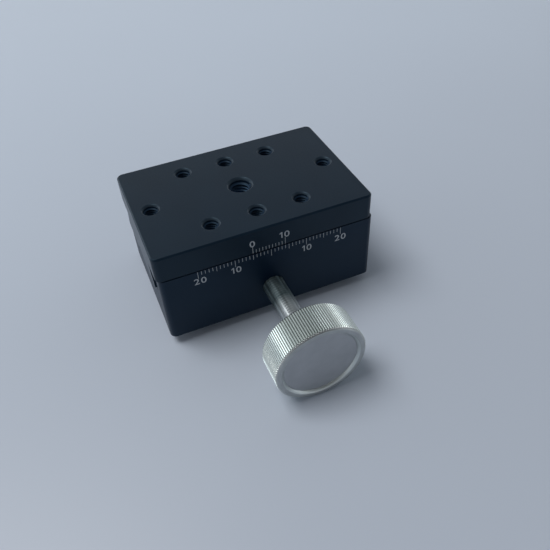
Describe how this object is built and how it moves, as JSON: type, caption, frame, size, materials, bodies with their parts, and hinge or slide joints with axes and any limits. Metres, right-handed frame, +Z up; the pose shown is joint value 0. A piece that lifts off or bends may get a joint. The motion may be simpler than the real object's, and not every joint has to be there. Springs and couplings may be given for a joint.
{
  "type": "linear translation stage",
  "caption": "Manual dovetail translation stage: tapped table slides on a base, driven by a side knob on a shaft through a rack and pinion, with an engraved vernier scale on the front.",
  "frame": {"origin": "centre of the base's seating face", "axes": "+Z up, out of the table top; +X along the travel; -Y towards the knob"},
  "size_m": [0.0605, 0.0756, 0.0326],
  "materials": {
    "black_anodised": "black anodised, satin",
    "black_anodised_table": "black anodised, fine satin",
    "natural_aluminium": "clear anodised, turned and knurled",
    "knob_cap_aluminium": "flat, matte",
    "ground_steel": "ground and polished",
    "black_steel": "black oxide",
    "spring_steel": "bright rolled",
    "brass": "milled",
    "bronze": "sintered, oiled"
  },
  "bodies": {
    "base": {"base_block": "black_anodised", "gib": "brass", "gib_screw_1": "black_steel", "gib_screw_2": "black_steel", "gib_screw_3": "black_steel", "gib_screw_4": "black_steel", "clamp_pad": "brass", "stop_screw": "black_steel", "front_bush": "bronze", "rear_bush": "bronze"},
    "table": {"moving_table": "black_anodised_table", "rack": "ground_steel", "rack_screw_left": "black_steel", "rack_screw_right": "black_steel"},
    "drive": {"pinion_shaft": "ground_steel", "thrust_washer": "bronze", "disc_spring": "spring_steel", "retaining_ring": "spring_steel", "knob": "natural_aluminium", "knob_cap": "knob_cap_aluminium", "knob_screw": "black_steel"},
    "lock": {"clamp_screw": "black_steel"}
  },
  "joints": [
    {"name": "knob_turn", "type": "hinge", "parent": "base", "child": "drive", "pos_m": [0, 0, 0.008], "axis": [0, 1, 0], "range_deg": [-372.5, 391.7]},
    {"name": "table_slide", "type": "slide", "parent": "base", "child": "table", "axis": [1, 0, 0], "range_m": [-0.0195, 0.0205]},
    {"name": "lock_turn", "type": "hinge", "parent": "base", "child": "lock", "pos_m": [0, 0, 0.018], "axis": [0, 1, 0], "range_deg": [-25, 180]}
  ],
  "couplings": [
    {"joint": "knob_turn", "follows": "table_slide", "rad_per_m": 333.33}
  ]
}
